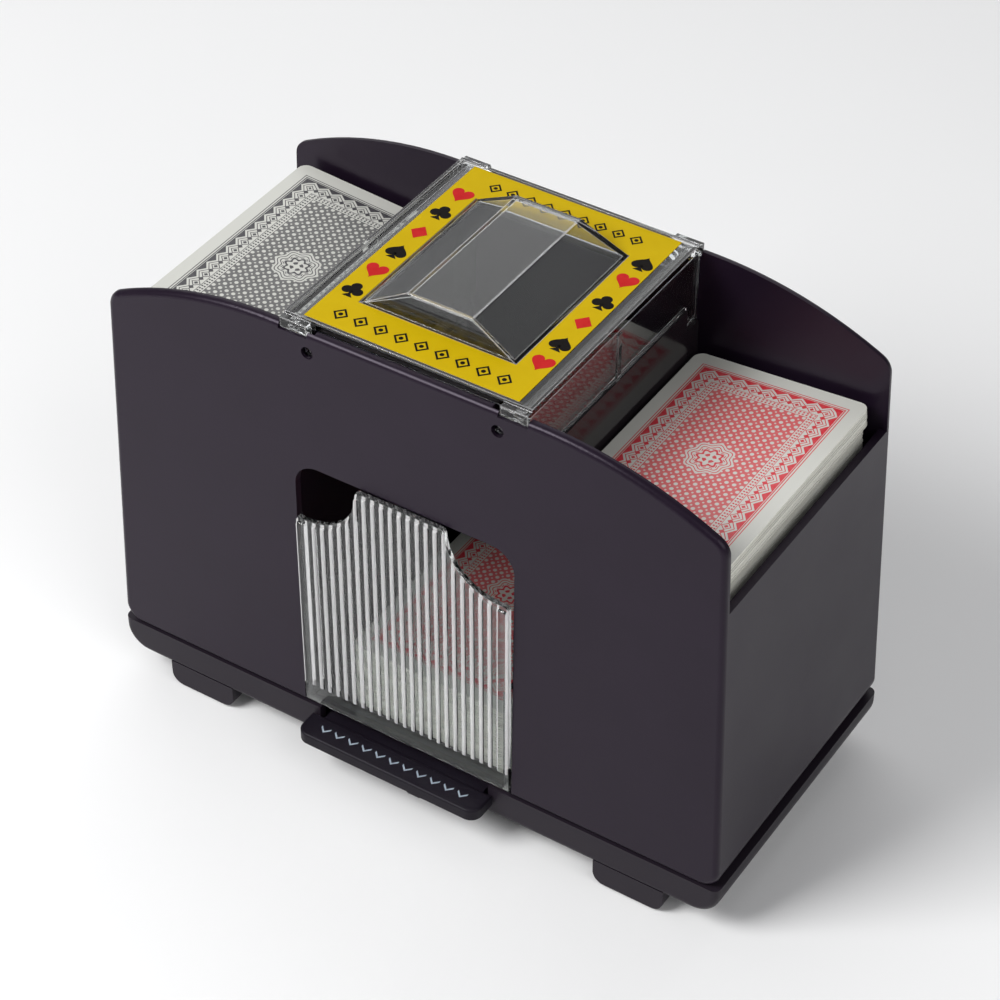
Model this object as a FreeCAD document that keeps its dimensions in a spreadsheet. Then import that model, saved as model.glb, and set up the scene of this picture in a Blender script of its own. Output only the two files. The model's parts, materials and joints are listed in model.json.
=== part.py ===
"""Automatic card shuffler for two decks, as separate pieces in millimetres.

X runs along the case, Y from front to back, Z up. The case is modelled about its own
centre line, and every sub-part's Placement moves it back by shift_y, which puts the
origin under the middle of the whole object, the press lever included.
"""
import FreeCAD
import Part
import Sketcher
import os
import re

Vector = FreeCAD.Vector

DIMENSIONS = [
    # case
    ("case_length", 216.0), ("case_depth", 99.3), ("slope_x", 0.04), ("slope_y", 0.014),
    ("wall", 2.5), ("seam_z", 19.8), ("blank_z", 166.0), ("arch_z", 163.2),
    ("arch_flat", 43.0), ("arch_radius", 125.0), ("arch_corner", 6.0), ("edge_round", 1.8),
    ("end_wall_z", 124.2), ("window_half", 37.6), ("window_z", 115.1), ("window_round", 8.0),
    ("notch_in", 31.5), ("notch_out", 41.2), ("notch_z", 161.2),
    ("peg_x", 31.5), ("peg_z", 156.4), ("peg_hole", 2.0), ("peg_radius", 1.7),
    ("peg_groove", 46.7), ("groove_clear", 0.3), ("boss_x", 97.0), ("boss_y", 42.6),
    ("boss_radius", 5.2), ("boss_z", 42.0), ("pilot_radius", 1.5),
    # base pan and feet
    ("pan_z", 8.2), ("pan_lip", 0.3), ("pan_round", 8.5), ("pan_inner_round", 6.0),
    ("pan_corner", 2.4), ("foot_in", 66.5), ("foot_out", 90.5), ("foot_depth", 14.0),
    ("foot_round", 4.0), ("pad", 0.8), ("pad_margin", 4.2),
    ("lever_slot_in", -32.0), ("lever_slot_out", 29.5), ("lever_slot_z", 11.2),
    ("post_radius", 4.5), ("screw_clear", 1.7), ("head_radius", 2.9), ("head_clear", 3.1),
    ("head_z", 9.0), ("head_seat_z", 11.0), ("screw_radius", 1.45), ("screw_end_z", 34.0),
    # chamber frame between the two mechanisms
    ("frame_out", 40.2), ("frame_in", 37.8), ("frame_half_y", 45.6), ("frame_z", 19.4),
    ("frame_floor_z", 21.2), ("frame_top_z", 110.8),
    # hoppers, measured from the plane that the cards rest on
    ("tilt", 4.3), ("deck_pivot", 100.0), ("deck_z", 119.2), ("floor_end", 1.2),
    ("floor_length", 63.4), ("floor_half_y", 45.2), ("rib_height", 1.5), ("rib_width", 1.6),
    ("floor_plate", 2.0), ("gate_z", 116.4), ("gate_in", 36.2), ("gate_rebate", 38.4),
    ("gate_lower_in", 39.4), ("gate_out", 41.6), ("gate_step_z", 146.8), ("gate_tab_z", 139.3),
    ("gate_tab_y", 37.6), ("gate_top_z", 161.5), ("gate_half_y", 44.9),
    # feed mechanism
    ("roller_x", 54.0), ("roller_radius", 11.0), ("roller_gap", 0.3), ("roller_width", 12.0),
    ("roller_y", 20.0), ("slot_half", 8.6), ("slot_clear", 0.6), ("gear_slot_half", 7.8),
    ("shaft_radius", 2.0), ("shaft_front", -42.4), ("shaft_back", 44.6), ("bush_bore", 2.06),
    ("bush_radius", 3.6), ("bush_flange", 4.8), ("bush_flange_width", 0.8),
    ("plate_in", 43.0), ("plate_out", 78.0), ("plate_front", -40.0), ("plate_back", 42.0),
    ("plate_width", 2.0), ("plate_top_in", 110.6), ("plate_top_out", 113.2),
    ("gear_module", 0.8), ("teeth_roller", 24), ("teeth_small", 12), ("teeth_large", 26),
    ("teeth_pinion", 10), ("addendum", 0.85), ("dedendum", 1.3), ("flank", 0.364),
    ("backlash", 0.12), ("mesh_angle", 45.0), ("motor_angle", 60.0),
    ("roller_gear_y", 31.0), ("roller_gear_width", 5.0), ("small_gear_y", 30.8),
    ("small_gear_width", 6.4), ("large_gear_y", 37.2), ("large_gear_width", 4.0),
    ("pinion_y", 36.9), ("pinion_width", 4.5), ("axle_radius", 1.5), ("axle_bore", 1.56),
    ("axle_y", 29.0), ("axle_length", 15.0), ("motor_radius", 12.0), ("motor_flat", 9.0),
    ("motor_y", -4.0), ("motor_length", 30.0), ("motor_cap", 5.0), ("motor_cap_length", 2.0),
    ("boss_r", 3.0), ("motor_boss_length", 2.3), ("motor_shaft_radius", 1.0),
    ("motor_shaft_bore", 1.06), ("motor_shaft_y", 22.0), ("motor_shaft_end", 41.8),
    ("bracket_in", 62.0), ("bracket_out", 84.0), ("bracket_y", 26.05), ("bracket_width", 2.4),
    ("bracket_z", 94.0), ("bracket_hole", 3.2),
    # lid
    ("lid_half_x", 40.8), ("lid_half_y", 44.8), ("lid_z", 162.6), ("label_z", 165.0),
    ("lid_rim", 1.2), ("lid_rim_z", 165.9), ("skirt_wall", 2.0), ("skirt_z", 147.3),
    ("tab_z", 139.8), ("tab_length", 6.6), ("flange_half", 35.6), ("flange_wall", 1.4),
    ("flange_z", 153.2),
    ("peg_end", 46.3), ("lug_in", 31.9), ("lug_y", 47.2), ("lug_z", 161.6),
    ("rib_y", 1.1), ("rib_depth", 0.5),
    ("bubble_x", 26.1), ("bubble_y", 29.9), ("bubble_top_x", 10.75), ("bubble_top_y", 28.05),
    ("bubble_z", 173.2), ("bubble_wall", 1.5), ("label_x", 35.4), ("label_y", 43.5),
    ("label_sheet", 0.2),
    # tray
    ("tray_half", 36.9), ("tray_front", 50.9), ("tray_face", 1.6), ("tray_z", 21.5),
    ("tray_tongue_z", 115.0), ("tray_tongue_half", 15.4), ("scallop_radius", 18.0),
    ("scallop_x", 33.4), ("scallop_z", 114.0), ("tray_ribs", 23), ("tray_rib_radius", 1.1),
    ("tray_rib_pitch", 3.05), ("tray_floor", 1.5), ("tray_side_out", 36.4), ("tray_wall", 1.5),
    ("tray_side_z", 62.0), ("tray_back", 45.4), ("tray_back_z", 38.0), ("tray_lip_z", 29.0),
    # press lever
    ("bar_left", -34.5), ("bar_right", 31.3), ("bar_front", -59.8), ("bar_back", -50.4),
    ("bar_z", 13.3), ("bar_top_z", 17.3), ("bar_corner", 4.0), ("bar_edge", 0.8),
    ("neck_left", -30.3), ("neck_right", 27.8), ("neck_z", 13.6), ("neck_top_z", 16.6),
    ("pivot_y", -12.0), ("pivot_z", 15.1), ("barrel_radius", 3.0), ("pin_radius", 1.5),
    ("pin_bore", 1.55), ("pin_left", -35.5), ("pin_right", 33.0), ("ear_width", 3.5), ("ear_gap", 0.6),
    ("ear_half", 4.0), ("ear_top_z", 18.2), ("nub_x", 8.6), ("nub_width", 4.5),
    ("nub_height", 1.1), ("strip", 0.4), ("strip_width", 6.0), ("strip_x", 13.0),
    ("spring_width", 8.0), ("spring_x", -1.3),
    # batteries
    ("cell_radius", 13.1), ("cell_length", 48.5), ("cell_z", 23.75), ("cell_x", 57.6),
    ("cell_pitch", 26.6), ("nub_radius", 3.3), ("nub_length", 1.5), ("box_in", 42.6),
    ("box_out", 99.2), ("box_half_y", 28.5), ("box_z", 39.1), ("box_wall", 1.5),
    ("door_in", 43.4), ("door_out", 98.2), ("door_half_y", 27.6), ("door_z", 8.4),
    ("door_thick", 2.0), ("door_gap", 0.5), ("grip_length", 12.0), ("grip_depth", 0.6),
    ("grip_inset", 4.0), ("grip_width", 2.0), ("door_pin", 0.8), ("door_pin_reach", 1.6),
    ("door_pin_bore", 0.9), ("contact_half", 5.0), ("cell_touch", 0.05), ("leaf_width", 8.0),
    # playing cards, loaded as the object is used
    ("card_width", 57.06), ("card_length", 86.6), ("card_corner", 3.0), ("deck_end", 0.6),
    ("deck_right", 14.4), ("deck_left", 24.4), ("pile_left", -23.2), ("pile_z", 23.2),
    ("pile_top_z", 47.8), ("pile_y", -1.0),
    # the whole object
    ("shift_y", 4.92),
]

doc = FreeCAD.newDocument("card_shuffler")
sheet = doc.addObject("Spreadsheet::Sheet", "dims")
for row, (alias, number) in enumerate(DIMENSIONS, start=1):
    sheet.set(f"A{row}", alias)
    sheet.set(f"B{row}", str(number))
    sheet.setAlias(f"B{row}", alias)
doc.recompute()

ALIASES = {alias for alias, number in DIMENSIONS}
SUBPARTS = []


def bound(text):
    """The expression text with each alias read from the sheet."""
    return re.sub(r"[a-z_]+\d?", lambda m: f"dims.{m[0]}" if m[0] in ALIASES else m[0], str(text))


def value(text):
    """The number that an expression over the sheet gives now."""
    return float(sheet.evalExpression(bound(text)))


def bind(obj, path, text):
    obj.setExpression(path, bound(text))


def add(kind, name, **sizes):
    obj = doc.addObject(kind, name)
    for path, text in sizes.items():
        bind(obj, path, text)
    return obj


def move(obj, x="0", y="0", z="0"):
    for axis, text in (("x", x), ("y", y), ("z", z)):
        bind(obj, f".Placement.Base.{axis}", text)
    return obj


def block(name, x, y, z):
    """A box between pairs of low and high limits, each an expression."""
    obj = add("Part::Box", name, Length=f"({x[1]})-({x[0]})", Width=f"({y[1]})-({y[0]})",
              Height=f"({z[1]})-({z[0]})")
    return move(obj, x[0], y[0], z[0])


TURNS = {"x": (Vector(0, 1, 0), 90), "y": (Vector(1, 0, 0), -90), "z": (Vector(0, 0, 1), 0)}


def rod(name, radius, length, axis, x="0", y="0", z="0"):
    """A cylinder that starts at a point and runs along an axis."""
    obj = add("Part::Cylinder", name, Radius=radius, Height=length)
    obj.Placement.Rotation = FreeCAD.Rotation(*TURNS[axis])
    return move(obj, x, y, z)


def taper(name, low, high, z):
    """A four-sided block whose half sizes go from low to high between two heights."""
    obj = add("Part::Wedge", name, Xmin=f"-({low[0]})", Xmax=low[0], Zmin=f"-({low[1]})",
              Zmax=low[1], X2min=f"-({high[0]})", X2max=high[0], Z2min=f"-({high[1]})",
              Z2max=high[1], Ymin="0", Ymax=f"({z[1]})-({z[0]})")
    obj.Placement.Rotation = FreeCAD.Rotation(Vector(1, 0, 0), 90)
    return move(obj, z=z[0])


def case_block(name, inset, z_low, z_high, extra_x="0"):
    """A block inside the case's drafted walls, set in by a wall or by nothing."""
    def half(z):
        return (f"case_length/2 - {inset} + {extra_x} - slope_x*(({z}) - seam_z)",
                f"case_depth/2 - {inset} - slope_y*(({z}) - seam_z)")
    return taper(name, half(z_low), half(z_high), (z_low, z_high))


def cut(name, base, *tools):
    doc.recompute()
    before = base.Shape.Volume
    obj = doc.addObject("Part::Cut", name)
    obj.Base = base
    obj.Tool = tools[0] if len(tools) == 1 else fuse(name + "_tools", *tools)
    doc.recompute()
    assert obj.Shape.Volume < before, f"{name} cut nothing"
    return obj


def fuse(name, *parts):
    obj = doc.addObject("Part::MultiFuse", name)
    obj.Shapes = list(parts)
    return obj


def common(name, *parts):
    obj = doc.addObject("Part::MultiCommon", name)
    obj.Shapes = list(parts)
    return obj


def rounded(name, base, radius, wanted):
    """Fillets the edges of base for which wanted(edge) holds."""
    doc.recompute()
    size = value(radius)
    obj = doc.addObject("Part::Fillet", name)
    obj.Base = base
    obj.Edges = [(i, size, size) for i, edge in enumerate(base.Shape.Edges, 1) if wanted(edge)]
    assert obj.Edges, f"{name} found no edge"
    doc.recompute()
    return obj


def along(edge, axis):
    """True for a straight edge parallel to an axis, given as 0, 1 or 2."""
    if edge.Curve.TypeId != "Part::GeomLine":
        return False
    return abs(abs(edge.tangentAt(edge.FirstParameter)[axis]) - 1) < 1e-4


def origin_plane(body, role):
    return next(f for f in body.Origin.OriginFeatures if f.Role == role)


def sketch_on(body, role, name):
    sketch = body.newObject("Sketcher::SketchObject", name)
    sketch.AttachmentSupport = [(origin_plane(body, role), "")]
    sketch.MapMode = "FlatFace"
    return sketch


def draw_outline(sketch, points):
    """A closed outline of straight lines, each corner held by two named distances."""
    first = sketch.GeometryCount
    spots = [Vector(value(u), value(v), 0) for u, v in points]
    for a, b in zip(spots, spots[1:] + spots[:1]):
        sketch.addGeometry(Part.LineSegment(a, b))
    for i, (u, v) in enumerate(points):
        follower = first + (i + 1) % len(points)
        sketch.addConstraint(Sketcher.Constraint("Coincident", first + i, 2, follower, 1))
        for kind, text, now in (("DistanceX", u, spots[i].x), ("DistanceY", v, spots[i].y)):
            tag = f"{kind}{first + i}"
            index = sketch.addConstraint(Sketcher.Constraint(kind, -1, 1, first + i, 1, now))
            sketch.renameConstraint(index, tag)
            bind(sketch, f"Constraints.{tag}", text)


def draw_circle(sketch, u, v, radius):
    geometry = sketch.addGeometry(
        Part.Circle(Vector(value(u), value(v), 0), Vector(0, 0, 1), value(radius)))
    for kind, text in (("DistanceX", u), ("DistanceY", v)):
        tag = f"{kind}{geometry}"
        index = sketch.addConstraint(
            Sketcher.Constraint(kind, -1, 1, geometry, 3, value(text)))
        sketch.renameConstraint(index, tag)
        bind(sketch, f"Constraints.{tag}", text)
    index = sketch.addConstraint(Sketcher.Constraint("Radius", geometry, value(radius)))
    sketch.renameConstraint(index, f"Radius{geometry}")
    bind(sketch, f"Constraints.Radius{geometry}", radius)


def pad(body, sketch, name, length):
    """Pads a sketch away from the origin plane along +X, +Y or +Z."""
    feature = body.newObject("PartDesign::Pad", name)
    feature.Profile = sketch
    bind(feature, "Length", length)
    feature.Reversed = sketch.AttachmentSupport[0][0].Role == "XZ_Plane"
    body.Tip = feature
    return feature


def plate(name, role, outline, thickness, holes=(), inner=()):
    """A flat plate: an outline with round and straight-sided holes, padded once."""
    body = doc.addObject("PartDesign::Body", name)
    sketch = sketch_on(body, role, name + "_sketch")
    draw_outline(sketch, outline)
    for opening in inner:
        draw_outline(sketch, opening)
    for u, v, radius in holes:
        draw_circle(sketch, u, v, radius)
    pad(body, sketch, name + "_pad", thickness)
    return body


def rectangle(x, y):
    return [(x[0], y[0]), (x[1], y[0]), (x[1], y[1]), (x[0], y[1])]


def subpart(obj, label, x="0", y="0", z="0", turn=None):
    """Names a finished sub-part and places it, shifted back like the whole case."""
    obj.Label = label
    if turn:
        obj.Placement.Rotation = FreeCAD.Rotation(turn[0], value(turn[1]))
        bind(obj, ".Placement.Rotation.Angle", turn[1])
    move(obj, x, f"({y}) + shift_y", z)
    SUBPARTS.append(obj)
    return obj


def mirrored(low, high, side):
    """Limits in X on the right side, or their mirror image on the left."""
    return (low, high) if side > 0 else (f"-({high})", f"-({low})")


SIDES = (("right", 1), ("left", -1))
CORNERS = [(sx, sy) for sx in (-1, 1) for sy in (-1, 1)]


DOOR_AXIS_X, DOOR_AXIS_Z = "(-door_in - door_thick/2)", "(door_z + door_thick/2)"


# ---------------------------------------------------------------- case and base
def housing_shell():
    """Tall drafted shell: arched front and back panels, low end walls, open window."""
    blank = case_block("shell_blank", "0", "seam_z", "blank_z")
    middle = block("arch_middle", ("-arch_flat", "arch_flat"), ("-case_depth", "case_depth"),
                   ("0", "arch_z"))
    ends = [rod(f"arch_{label}", "arch_radius", "2*case_depth", "y", f"{side}*arch_flat",
                "-case_depth", "arch_z - arch_radius") for label, side in SIDES]
    solid = common("shell_solid", blank, fuse("arch", middle, *ends))
    seam = value("seam_z")

    def outer_corner(edge):
        return along(edge, 1) and abs(edge.CenterOfMass.x) > value("arch_flat + arch_corner")
    solid = rounded("shell_shoulders", solid, "arch_corner", outer_corner)

    def rim(edge):
        middle_y = abs(edge.CenterOfMass.y)
        return middle_y > value("case_depth/2 - wall - 1") and edge.CenterOfMass.z > seam + 1
    solid = rounded("shell_rim", solid, "edge_round", rim)

    cavity = case_block("shell_cavity", "wall", "seam_z - 1", "blank_z + 1")
    ends_open = case_block("end_openings", "wall", "end_wall_z", "blank_z + 1", "20")
    window = block("window_block", ("-window_half", "window_half"), ("-case_depth", "-case_depth/4"),
                   ("seam_z - 1", "window_z"))
    window = rounded("window", window, "window_round",
                     lambda e: along(e, 1) and e.CenterOfMass.z > value("window_z") - 1)
    cutters = [cavity, ends_open, window]
    for i, (sx, sy) in enumerate(CORNERS):
        x = mirrored("notch_in", "notch_out", sx)
        y = mirrored("case_depth/2 - 3*wall", "case_depth", sy)
        cutters.append(block(f"lid_notch{i}", x, y, ("notch_z", "blank_z")))
        x = (f"{sx}*peg_x - peg_hole - groove_clear", f"{sx}*peg_x + peg_hole + groove_clear")
        y = mirrored("case_depth/2 - 3*wall", "peg_groove", sy)
        cutters.append(block(f"peg_groove{i}", x, y, ("peg_z - peg_hole - groove_clear", "blank_z")))
    for label, side in SIDES:
        cutters.append(rod(f"peg_hole_{label}", "peg_hole", "2*case_depth", "y",
                           f"{side}*peg_x", "-case_depth", "peg_z"))
    shell = cut("shell_walls", solid, *cutters)
    bosses = [rod(f"boss{i}", "boss_radius", "boss_z - seam_z", "z", f"{sx}*boss_x",
                  f"{sy}*boss_y", "seam_z") for i, (sx, sy) in enumerate(CORNERS)]
    pilots = [rod(f"pilot{i}", "pilot_radius", "boss_z - seam_z - 2", "z", f"{sx}*boss_x",
                  f"{sy}*boss_y", "seam_z") for i, (sx, sy) in enumerate(CORNERS)]
    shell = cut("shell_cut", fuse("shell_bossed", shell, *bosses), *pilots)
    subpart(shell, "housing_shell")


def base_pan():
    """Shallow tray-shaped base: rounded ends, four feet, lever slot, battery opening."""
    def pan_block(name, inset, low, high):
        return block(name, (f"-case_length/2 - {inset}", f"case_length/2 + {inset}"),
                     (f"-case_depth/2 - {inset}", f"case_depth/2 + {inset}"), (low, high))
    outer = pan_block("pan_outer", "pan_lip", "pan_z", "seam_z")
    outer = rounded("pan_ends", outer, "pan_round",
                    lambda e: along(e, 1) and e.CenterOfMass.z < value("pan_z") + 1)
    outer = rounded("pan_corners", outer, "pan_corner", lambda e: along(e, 2))
    inner = pan_block("pan_inner", "(-wall)", "pan_z + wall", "seam_z + 10")
    inner = rounded("pan_hollow", inner, "pan_inner_round",
                    lambda e: along(e, 1) and e.CenterOfMass.z < value("pan_z + wall") + 1)
    pan = cut("pan_shell", outer, inner)
    additions = [pan]
    for i, (sx, sy) in enumerate(CORNERS):
        x = mirrored("foot_in", "foot_out", sx)
        y = mirrored("case_depth/2 + pan_lip - foot_depth", "case_depth/2 + pan_lip", sy)
        foot = block(f"foot_block{i}", x, y, ("pad", "pan_z + wall/2"))
        additions.append(rounded(f"foot{i}", foot, "foot_round",
                                 lambda e: along(e, 1) and e.CenterOfMass.z < value("pad") + 1))
        additions.append(rod(f"post{i}", "post_radius", "seam_z - pan_z", "z", f"{sx}*boss_x",
                             f"{sy}*boss_y", "pan_z"))
    for name, low, high in (
            ("ear_left", "neck_left - ear_width - ear_gap", "neck_left - ear_gap"),
            ("ear_right", "neck_right + ear_gap", "neck_right + ear_width + ear_gap")):
        additions.append(block(name, (low, high), ("pivot_y - ear_half", "pivot_y + ear_half"),
                               ("pan_z + wall/2", "ear_top_z")))
    cutters = [
        block("lever_slot", ("lever_slot_in", "lever_slot_out"),
              ("-case_depth", "-case_depth/2 + wall + 0.5"), ("lever_slot_z", "seam_z + 1")),
        block("battery_opening", ("-door_out - door_gap", "-door_in + door_gap"),
              ("-door_half_y - door_gap", "door_half_y + door_gap"), ("0", "pan_z + wall + 1")),
        rod("pin_bore_hole", "pin_bore", "pin_right - pin_left + 4", "x", "pin_left - 2",
            "pivot_y", "pivot_z"),
        rod("door_pin_holes", "door_pin_bore", "2*(door_half_y + door_pin_reach + door_gap)", "y",
            DOOR_AXIS_X, "-door_half_y - door_pin_reach - door_gap", DOOR_AXIS_Z),
    ]
    for i, (sx, sy) in enumerate(CORNERS):
        cutters.append(rod(f"screw_hole{i}", "screw_clear", "2*seam_z", "z", f"{sx}*boss_x",
                           f"{sy}*boss_y", "0"))
        cutters.append(rod(f"screw_seat{i}", "head_clear", "head_seat_z", "z", f"{sx}*boss_x",
                           f"{sy}*boss_y", "0"))
    subpart(cut("pan_cut", fuse("pan_whole", *additions), *cutters), "base_pan")


def foot_pads():
    pads = []
    for i, (sx, sy) in enumerate(CORNERS):
        x = mirrored("foot_in + pad_margin", "foot_out - pad_margin", sx)
        y = mirrored("case_depth/2 + pan_lip - foot_depth + 2", "case_depth/2 + pan_lip - 2", sy)
        pads.append(block(f"pad{i}", x, y, ("0", "pad")))
    subpart(fuse("pads", *pads), "foot_pads")


def case_screws():
    screws = []
    for i, (sx, sy) in enumerate(CORNERS):
        at = (f"{sx}*boss_x", f"{sy}*boss_y")
        screws.append(rod(f"screw_shank{i}", "screw_radius", "screw_end_z - head_seat_z", "z",
                          *at, "head_seat_z"))
        head = rod(f"screw_head{i}", "head_radius", "head_seat_z - head_z", "z", *at, "head_z")
        slot = block(f"screw_recess{i}", (f"{at[0]} - head_radius", f"{at[0]} + head_radius"),
                     (f"{at[1]} - 0.4", f"{at[1]} + 0.4"), ("head_z", "head_z + 0.9"))
        screws.append(cut(f"screw_slotted{i}", head, slot))
    subpart(fuse("screws", *screws), "case_screws")


def chamber_frame():
    """U-shaped inner frame: the tray's floor and the two walls beside it."""
    y = ("-frame_half_y", "frame_half_y")
    solid = block("frame_block", ("-frame_out", "frame_out"), y, ("frame_z", "frame_top_z"))
    hollow = block("frame_hollow", ("-frame_in", "frame_in"), ("-case_depth", "case_depth"),
                   ("frame_floor_z", "frame_top_z + 1"))
    subpart(cut("frame_u", solid, hollow), "chamber_frame")


# ---------------------------------------------------------------- hoppers
ROLLER_DROP = ("((deck_pivot - roller_x)*tan(tilt*1deg)"
               " + (roller_radius + roller_gap)/cos(tilt*1deg))")
ROLLER_Z = f"(deck_z - {ROLLER_DROP})"
ROLLER_LOCAL = f"((deck_pivot - roller_x)*cos(tilt*1deg) + {ROLLER_DROP}*sin(tilt*1deg))"


CARD_RIB_YS = (-42.0, -30.0, -9.0, 0.0, 9.0, 39.8)


def on_card_plane(obj, label, side):
    """Places a solid drawn on the level onto the tilted plane that the cards rest on."""
    subpart(obj, label, f"{side}*deck_pivot", "0", "deck_z",
            turn=(Vector(0, 1, 0), f"{-side}*tilt"))


def hopper_floor(label, side):
    """Tilted floor with card ribs, two roller slots and one gear slot."""
    name = f"{label}_floor"
    span = mirrored("floor_end - floor_length", "floor_end", side)
    parts = [block(f"{name}_plate", span, ("-floor_half_y", "floor_half_y"),
                   ("-rib_height - floor_plate", "-rib_height"))]
    for i, y in enumerate(CARD_RIB_YS):
        parts.append(block(f"{name}_rib{i}", span, (f"{y} - rib_width/2", f"{y} + rib_width/2"),
                           ("-rib_height - floor_plate/2", "0")))
    through = ("-rib_height - 2*floor_plate", "1")

    def around_shaft(half):
        return mirrored(f"-{ROLLER_LOCAL} - {half}", f"-{ROLLER_LOCAL} + {half}", side)
    slots = []
    for i, y in enumerate(("-roller_y", "roller_y")):
        reach = "(roller_width/2 + slot_clear)"
        slots.append(block(f"{name}_slot{i}", around_shaft("slot_half"),
                           (f"{y} - {reach}", f"{y} + {reach}"), through))
    gear_y = ("roller_gear_y - slot_clear", "roller_gear_y + roller_gear_width + slot_clear")
    slots.append(block(f"{name}_gear_slot", around_shaft("gear_slot_half"), gear_y, through))
    on_card_plane(cut(f"{name}_cut", fuse(f"{name}_ribbed", *parts), *slots),
                  f"{label}_hopper_floor", side)


def gate_wall(label, side):
    """Wall between hopper and chamber, stepped for the lid's skirt, over the feed gap."""
    name = f"{label}_gate"
    y = ("-gate_half_y", "gate_half_y")
    lower = block(f"{name}_lower", mirrored("gate_lower_in", "gate_out", side),
                  ("-gate_tab_y", "gate_tab_y"), ("gate_z", "gate_step_z"))
    sill = block(f"{name}_sill", mirrored("gate_in", "gate_out", side), y,
                 ("gate_z", "gate_tab_z"))
    upper = block(f"{name}_upper", mirrored("gate_in", "gate_rebate", side), y,
                  ("gate_z", "gate_top_z"))
    tie = block(f"{name}_tie", mirrored("gate_in", "gate_out", side),
                ("-gate_tab_y", "gate_tab_y"), ("gate_tab_z - 2", "gate_step_z - 2"))
    relief = block(f"{name}_relief", mirrored("gate_in - 1", "gate_lower_in", side),
                   ("-gate_half_y + 3", "gate_half_y - 3"), ("gate_z - 1", "gate_tab_z - 2"))
    subpart(cut(f"{name}_cut", fuse(f"{name}_solid", lower, sill, upper, tie), relief),
            f"{label}_gate_wall")


# ---------------------------------------------------------------- feed mechanism
MESH_SMALL = "(gear_module*(teeth_roller + teeth_small)/2)"
MESH_LARGE = "(gear_module*(teeth_large + teeth_pinion)/2)"
COMPOUND_X = f"(roller_x + {MESH_SMALL}*cos(mesh_angle*1deg))"
COMPOUND_Z = f"({ROLLER_Z} - {MESH_SMALL}*sin(mesh_angle*1deg))"
MOTOR_X = f"({COMPOUND_X} + {MESH_LARGE}*cos(motor_angle*1deg))"
MOTOR_Z = f"({COMPOUND_Z} - {MESH_LARGE}*sin(motor_angle*1deg))"


def gear(name, teeth, width, bore, angle):
    """A spur gear about the Y axis, one tooth pointing at an angle above +X."""
    pitch = f"gear_module*{teeth}/2"
    tip = f"({pitch} + addendum*gear_module)"
    root = f"({pitch} - dedendum*gear_module)"
    half = "(gear_module*pi/4 - backlash)"
    tip_half = f"({half} - addendum*gear_module*flank)"
    root_half = f"({half} + dedendum*gear_module*flank)"
    body = doc.addObject("PartDesign::Body", name)
    disc = sketch_on(body, "XZ_Plane", name + "_disc")
    draw_circle(disc, "0", "0", root)
    draw_circle(disc, "0", "0", bore)
    pad(body, disc, name + "_blank", width)
    tooth = sketch_on(body, "XZ_Plane", name + "_tooth")
    inner = f"({root} - 0.25)"
    draw_outline(tooth, [(inner, f"-{root_half}"), (tip, f"-{tip_half}"), (tip, tip_half),
                         (inner, root_half)])
    single = pad(body, tooth, name + "_tooth_pad", width)
    doc.recompute()
    ring = body.newObject("PartDesign::PolarPattern", name + "_teeth")
    ring.Originals = [single]
    ring.Axis = (disc, ["N_Axis"])
    ring.Angle = 360
    bind(ring, "Occurrences", teeth)
    body.Tip = ring
    body.Placement.Rotation = FreeCAD.Rotation(Vector(0, -1, 0), value(angle))
    return body


def turned(obj, label, x, y, z):
    """Places a gear that already has its own turn about Y."""
    obj.Label = label
    move(obj, x, f"{y} + shift_y", z)
    SUBPARTS.append(obj)


def facing(side, angle, half_pitch="0"):
    """The angle above +X of a line that runs outward and down, mirrored on the left."""
    base = f"-({angle})" if side > 0 else f"180 + {angle}"
    return f"{base} + {half_pitch}"


def feed_train(label, side):
    """Shaft with two rubber rollers, its gear, the compound gear and the motor's pinion."""
    at = (f"{side}*roller_x", "0", ROLLER_Z)
    shaft = rod(f"{label}_shaft", "shaft_radius", "shaft_back - shaft_front", "y")
    subpart(shaft, f"{label}_roller_shaft", at[0], "shaft_front", at[2])
    tyres = []
    for i, y in enumerate(("-roller_y", "roller_y")):
        start = f"{y} - roller_width/2"
        tyre = rod(f"{label}_tyre{i}", "roller_radius", "roller_width", "y", "0", start)
        hole = rod(f"{label}_tyre_hole{i}", "shaft_radius", "roller_width + 2", "y", "0",
                   f"{start} - 1")
        tyres.append(cut(f"{label}_tyre_cut{i}", tyre, hole))
    subpart(fuse(f"{label}_tyres", *tyres), f"{label}_feed_rollers", *at)

    roller_gear = gear(f"{label}_g24", "teeth_roller", "roller_gear_width", "shaft_radius",
                       facing(side, "mesh_angle"))
    turned(roller_gear, f"{label}_roller_gear", at[0], "roller_gear_y", at[2])

    opposite = facing(side, "mesh_angle", "180 + 180/teeth_small")
    small = gear(f"{label}_g12", "teeth_small", "small_gear_width + 0.1", "axle_bore", opposite)
    large = gear(f"{label}_g26", "teeth_large", "large_gear_width", "axle_bore",
                 facing(side, "motor_angle"))
    move(small, "0", "small_gear_y - large_gear_y")
    compound = fuse(f"{label}_compound", small, large)
    subpart(compound, f"{label}_compound_gear", f"{side}*{COMPOUND_X}", "large_gear_y", COMPOUND_Z)

    axle = rod(f"{label}_axle", "axle_radius", "axle_length", "y")
    subpart(axle, f"{label}_gear_axle", f"{side}*{COMPOUND_X}", "axle_y", COMPOUND_Z)

    pinion = gear(f"{label}_g10", "teeth_pinion", "pinion_width", "motor_shaft_radius",
                  facing(side, "motor_angle", "180 + 180/teeth_pinion"))
    turned(pinion, f"{label}_motor_pinion", f"{side}*{MOTOR_X}", "pinion_y", MOTOR_Z)
    rotor = rod(f"{label}_rotor", "motor_shaft_radius", "motor_shaft_end - motor_shaft_y", "y")
    subpart(rotor, f"{label}_motor_shaft", f"{side}*{MOTOR_X}", "motor_shaft_y", MOTOR_Z)


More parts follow.
